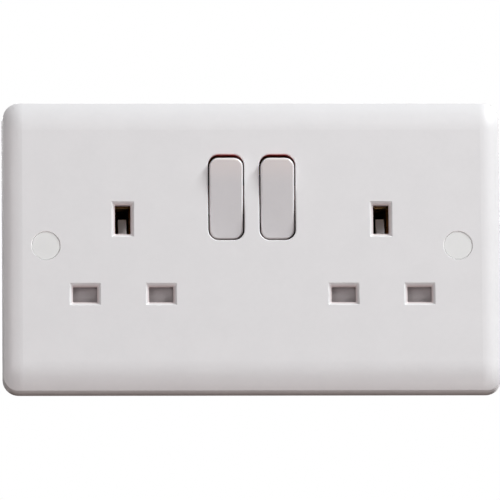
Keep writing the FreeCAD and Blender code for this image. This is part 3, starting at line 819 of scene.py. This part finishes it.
@dataclass
class RockerSwitch:
    """The rockers, plungers and see-saw contacts."""

    spring: CoilSpring = CoilSpring(
        wire=0.35, mean_radius=1.35, length=3.1, open_turns=2.6, end_turns=0.8
    )
    finish: Moulding = SHADED_ROCKER_WHITE
    plunger_finish: Moulding = NYLON
    tip_finish: Metal = SILVER
    x: float = 7.5
    spring_foot: float = -1.85
    spring_keep: float = 0.742

    def build(self, side: Side, steel: bpy.types.Material) -> bpy.types.Object:
        """Wind the coil behind one plunger.

        Args:
            side: The switch's side.
            steel: The coil's finish.

        Returns:
            The coil.
        """
        pivot = Matrix.Translation(Vector((side.value * self.x, *ROCKER_PIVOT)) * MM)
        turn = Matrix.Rotation(math.radians(ROCKER_TILT), 4, "X")
        foot = Matrix.Translation((0, self.spring_foot * MM, 0))
        inward = Matrix.Rotation(-math.pi / 2, 4, "X")
        place = pivot @ turn @ foot @ inward
        coil = self.spring.build(side.node("plunger_coil"), place, steel)
        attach(coil, side.node("rocker_body"))
        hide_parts(side.node("plunger_spring"))
        slide = side.node("plunger_slide")
        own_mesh(coil)
        return coil

    def dress(self, brass: bpy.types.Material) -> None:
        """Give the switch pieces their finish.

        Args:
            brass: The contact arms' finish.
        """
        coat(self.finish.material(), *(side.node("rocker") for side in Side))
        coat(self.plunger_finish.material(), *(side.node("plunger") for side in Side))
        coat(brass, *(side.node("contact_arm") for side in Side))
        tips = [side.node(tip) for side in Side for tip in ("moving_tip", "fixed_tip")]
        coat(self.tip_finish.material(), *tips)


@dataclass
class PinShutter:
    """The sliding shutters and the coils that close them."""

    spring: CoilSpring = CoilSpring(wire=0.4, mean_radius=0.95, length=7.7, open_turns=4.0)
    finish: Moulding = SHADED_SHUTTER_NYLON
    x: float = 37.8
    spring_foot: Span = (-5.2, -25.375)
    spring_keep: float = 0.305

    def build(self, side: Side, steel: bpy.types.Material) -> bpy.types.Object:
        """Wind the coil under one shutter.

        Args:
            side: The socket's side.
            steel: The coil's finish.

        Returns:
            The coil.
        """
        foot = Vector((side.value * self.x, *self.spring_foot)) * MM
        coil = self.spring.build(side.node("shutter_coil"), Matrix.Translation(foot), steel)
        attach(coil, "base")
        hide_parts(side.node("shutter_spring"))
        slide = side.node("shutter_slide")
        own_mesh(coil)
        return coil

    def dress(self) -> None:
        """Give the shutters their finish."""
        coat(self.finish.material(), *(side.node("shutter") for side in Side))


@dataclass
class BackWorks:
    """The back moulding with its bars, terminals and screws."""

    bars: Sequence[str] = (
        "neutral_bar", "feed_bar", "earth_bar", "left_line_contact", "right_line_contact",
    )
    terminals: Sequence[str] = (
        "left_earth_terminal", "neutral_terminal", "line_terminal", "right_earth_terminal",
    )
    screws: Sequence[str] = ("clamp_screws", "housing_screws")
    terminal_finish: Metal = TERMINAL_BRASS
    screw_finish: Metal = ZINC
    back: float = 12.6
    letters: Sequence[tuple[str, float]] = (("E", -37.8), ("N", -22.1), ("L", 22.1), ("E", 37.8))
    letter_row: float = 29.2
    letter_size: float = 3.6
    letter_height: float = 0.3
    letter_weld: float = 0.0001
    marks: Sequence[Span] = ((46.0, 2.0), (33.0, -12.0), (9.0, 9.0), (44.0, -23.0))
    mark_radius: float = 2.4
    mark_height: float = 0.12
    mark_sides: int = 48
    mark_round: float = 0.05
    mark_round_steps: int = 2

    def build_letter(self, number: int, grey: bpy.types.Material) -> bpy.types.Object:
        """Raise the letter that marks one terminal.

        Args:
            number: Which letter.
            grey: The letter's finish.

        Returns:
            The letter.
        """
        text, x = self.letters[number]
        name = f"terminal_letter_{number + 1}"
        curve = bpy.data.curves.new(name, "FONT")
        curve.body = text
        curve.size = self.letter_size
        curve.extrude = self.letter_height
        curve.align_x = "CENTER"
        curve.align_y = "CENTER"
        holder = bpy.data.objects.new(name, curve)
        flat = bpy.data.meshes.new_from_object(holder)
        mesh = bmesh.new()
        mesh.from_mesh(flat)
        bpy.data.batch_remove((holder, curve, flat))
        bmesh.ops.remove_doubles(mesh, verts=mesh.verts, dist=self.letter_weld)
        # Read from behind, a letter runs towards -X, stands along Z and rises along Y.
        facing = Matrix(((-1, 0, 0), (0, 0, 1), (0, 1, 0))).to_4x4()
        place = Matrix.Translation(Vector((x, self.back, self.letter_row)) * MM)
        bmesh.ops.transform(mesh, matrix=place @ facing @ Matrix.Scale(MM, 4), verts=mesh.verts)
        bmesh.ops.recalc_face_normals(mesh, faces=mesh.faces)
        letter = finished(mesh, name, grey)
        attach(letter, "base")
        return letter

    def build_marks(self, plastic: bpy.types.Material) -> bpy.types.Object:
        """Raise the round marks that the ejector pins leave on the back.

        Args:
            plastic: The moulding's finish.

        Returns:
            The marks, as one piece.
        """
        mesh = bmesh.new()
        inward = Matrix.Rotation(math.pi / 2, 4, "X")
        for x, z in ((side.value * x, z) for side in Side for x, z in self.marks):
            bmesh.ops.create_cone(
                mesh, cap_ends=True, segments=self.mark_sides, radius1=self.mark_radius,
                radius2=self.mark_radius, depth=2 * self.mark_height,
                matrix=Matrix.Translation((x, self.back, z)) @ inward,
            )
        rims = [
            edge for edge in mesh.edges if any(len(face.verts) > QUAD for face in edge.link_faces)
        ]
        bmesh.ops.bevel(
            mesh, geom=rims, offset=self.mark_round, segments=self.mark_round_steps,
            profile=ROUND_PROFILE, affect="EDGES", material=-1,
        )
        bmesh.ops.transform(mesh, matrix=Matrix.Scale(MM, 4), verts=mesh.verts)
        marks = finished(mesh, "ejector_marks", plastic)
        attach(marks, "base")
        return marks

    def build(
        self, plastic: bpy.types.Material, grey: bpy.types.Material
    ) -> list[bpy.types.Object]:
        """Raise everything that stands on the back.

        Args:
            plastic: The moulding's finish.
            grey: The letters' finish.

        Returns:
            The letters and the marks.
        """
        letters = [self.build_letter(number, grey) for number in range(len(self.letters))]
        return [*letters, self.build_marks(plastic)]

    def dress(self, plastic: bpy.types.Material, brass: bpy.types.Material) -> None:
        """Give the moulding and the metalwork their finish.

        Args:
            plastic: The moulding's finish.
            brass: The bars' finish.
        """
        coat(plastic, "back_moulding")
        coat(brass, *self.bars)
        coat(self.terminal_finish.material(), *self.terminals)
        coat(self.screw_finish.material(), *self.screws)


@dataclass(frozen=True)
class Lamp:
    """A soft box that points at the middle of the plate."""

    name: str
    towards: Triple
    distance: float
    size: float
    power: float
    tint: Colour = (1.0, 1.0, 1.0)

    def hang(self) -> None:
        """Hang the lamp."""
        data = bpy.data.lights.new(self.name, "AREA")
        data.shape = "DISK"
        data.size = self.size
        data.energy = self.power
        data.color = self.tint
        lamp = bpy.data.objects.new(self.name, data)
        direction = Vector(self.towards).normalized()
        lamp.location = direction * self.distance
        lamp.rotation_mode = "QUATERNION"
        lamp.rotation_quaternion = (-direction).to_track_quat("-Z", "Y")
        bpy.context.scene.collection.objects.link(lamp)


@dataclass
class Studio:
    """The camera, the lamps, the floor and the white room round them."""

    azimuth: float = -2.5
    elevation: float = -10.5
    roll: float = -0.5
    distance: float = 3.0
    width: float = 0.14613
    aim: Triple = (-0.00067, -0.0092, -0.00138)
    sensor: float = 36.0
    lamps: Sequence[Lamp] = (
        Lamp("key_lamp", (0.62, -0.25, 0.74), 2.0, 0.50, 26.6, (0.975, 1.0, 1.015)),
        Lamp("right_lamp", (0.64, -0.50, 0.54), 2.0, 0.75, 19.6),
        Lamp("front_lamp", (0.10, -1.0, 0.40), 2.0, 0.5, 3.0),
        Lamp("left_lamp", (-0.60, -0.75, 0.10), 1.8, 0.8, 7.8, (1.0, 0.955, 0.965)),
        Lamp("low_lamp", (0.25, -0.75, -0.60), 1.6, 0.45, 4.6, (1.0, 0.96, 0.975)),
        Lamp("back_lamp", (-0.35, 0.80, 0.48), 1.8, 1.0, 26.0),
        Lamp("back_fill", (0.65, 0.75, -0.10), 1.8, 1.2, 12.0),
    )
    room_light: float = 0.02
    room_tint: Colour = (1.0, 0.80, 0.73)
    room_white: Colour = (1.0, 1.0, 1.0)
    floor_level: float = -1.1
    floor_size: float = 9.0
    floor_colour: Colour = (0.80, 0.77, 0.75)
    floor_shade: Colour = (0.78, 0.75, 0.73)
    floor_mottle: float = 160.0
    floor_bounce: Colour = (0.38, 0.31, 0.29)
    floor_roughness: float = 0.8
    floor_lift: float = 0.85

    def set_camera(self) -> None:
        """Set the camera at the photograph's angle."""
        turn, rise = math.radians(self.azimuth), math.radians(self.elevation)
        level = math.cos(rise)
        back = Vector((math.sin(turn) * level, -math.cos(turn) * level, math.sin(rise)))
        data = bpy.data.cameras.new("camera")
        data.sensor_width = self.sensor
        data.lens = self.sensor * self.distance / self.width
        camera = bpy.data.objects.new("camera", data)
        camera.location = Vector(self.aim) + back * self.distance
        camera.rotation_mode = "QUATERNION"
        lean = Quaternion((0, 0, 1), math.radians(self.roll))
        camera.rotation_quaternion = (-back).to_track_quat("-Z", "Y") @ lean
        bpy.context.scene.collection.objects.link(camera)
        bpy.context.scene.camera = camera

    def set_room(self) -> None:
        """Make the room white to look at and dim as a light."""
        world = bpy.data.worlds.new("white_room")
        world.use_nodes = True
        sheet = Sheet(world.node_tree)
        seen = sheet.node("ShaderNodeLightPath").outputs["Is Camera Ray"]
        glow = sheet.node(
            "ShaderNodeBackground",
            sockets={"Color": (*self.room_tint, 1.0), "Strength": self.room_light},
        )
        white = sheet.node("ShaderNodeBackground", sockets={"Color": (*self.room_white, 1.0)})
        both = sheet.node(
            "ShaderNodeMixShader", sockets={0: seen, 1: glow.outputs[0], 2: white.outputs[0]}
        )
        sheet.node("ShaderNodeOutputWorld", sockets={0: both.outputs[0]})
        bpy.context.scene.world = world
        bpy.context.scene.view_settings.view_transform = "Standard"

    def floor_paper(self) -> bpy.types.Material:
        """Make the floor's paper: pale to look at, darker as a light, and clear from below.

        Returns:
            The material.
        """
        surface = Surface("floor_paper")
        clouds = surface.ramp(surface.noise(self.floor_mottle), *CLOUD_SPAN)
        colour = surface.mix(clouds, self.floor_shade, self.floor_colour)
        paper = surface.node(
            "ShaderNodeBsdfPrincipled",
            sockets={"Base Color": (*self.floor_bounce, 1.0), "Roughness": self.floor_roughness},
        )
        pale = surface.node("ShaderNodeEmission", sockets={"Color": colour})
        seen = Field(surface, surface.node("ShaderNodeLightPath").outputs["Is Camera Ray"])
        above = surface.node(
            "ShaderNodeMixShader",
            sockets={0: seen * self.floor_lift, 1: paper.outputs[0], 2: pale.outputs[0]},
        )
        below = surface.node("ShaderNodeNewGeometry").outputs["Backfacing"]
        clear = surface.node("ShaderNodeBsdfTransparent")
        whole = surface.node(
            "ShaderNodeMixShader", sockets={0: below, 1: above.outputs[0], 2: clear.outputs[0]}
        )
        surface.node("ShaderNodeOutputMaterial", sockets={0: whole.outputs[0]})
        return surface.material

    def lay_floor(self) -> None:
        """Lay the floor well below the socket."""
        mesh = bmesh.new()
        bmesh.ops.create_grid(mesh, x_segments=1, y_segments=1, size=self.floor_size / 2)
        bmesh.ops.translate(mesh, vec=(0, 0, self.floor_level), verts=mesh.verts)
        finished(mesh, "floor", self.floor_paper())

    def build(self) -> None:
        """Set up the whole studio."""
        self.set_camera()
        self.set_room()
        self.lay_floor()
        for lamp in self.lamps:
            lamp.hang()


def main() -> None:
    """Build and dress the socket, piece by piece."""
    logging.basicConfig(level=logging.INFO, format="%(name)s: %(message)s")
    brass = BRASS.material()
    steel = SPRING_STEEL.material()
    FacePlate().dress()
    switch = RockerSwitch()
    shutter = PinShutter()
    for side in Side:
        for coil in (switch.build(side, steel), shutter.build(side, steel)):
            log.info("%s wound with %d faces", coil.name, len(coil.data.polygons))
    switch.dress(brass)
    shutter.dress()
    works = BackWorks()
    plastic = BACK_BLACK.material()
    for piece in works.build(plastic, LETTER_GREY.material()):
        log.info("%s raised with %d faces", piece.name, len(piece.data.polygons))
    works.dress(plastic, brass)
    Studio().build()


if __name__ == "__main__":
    main()
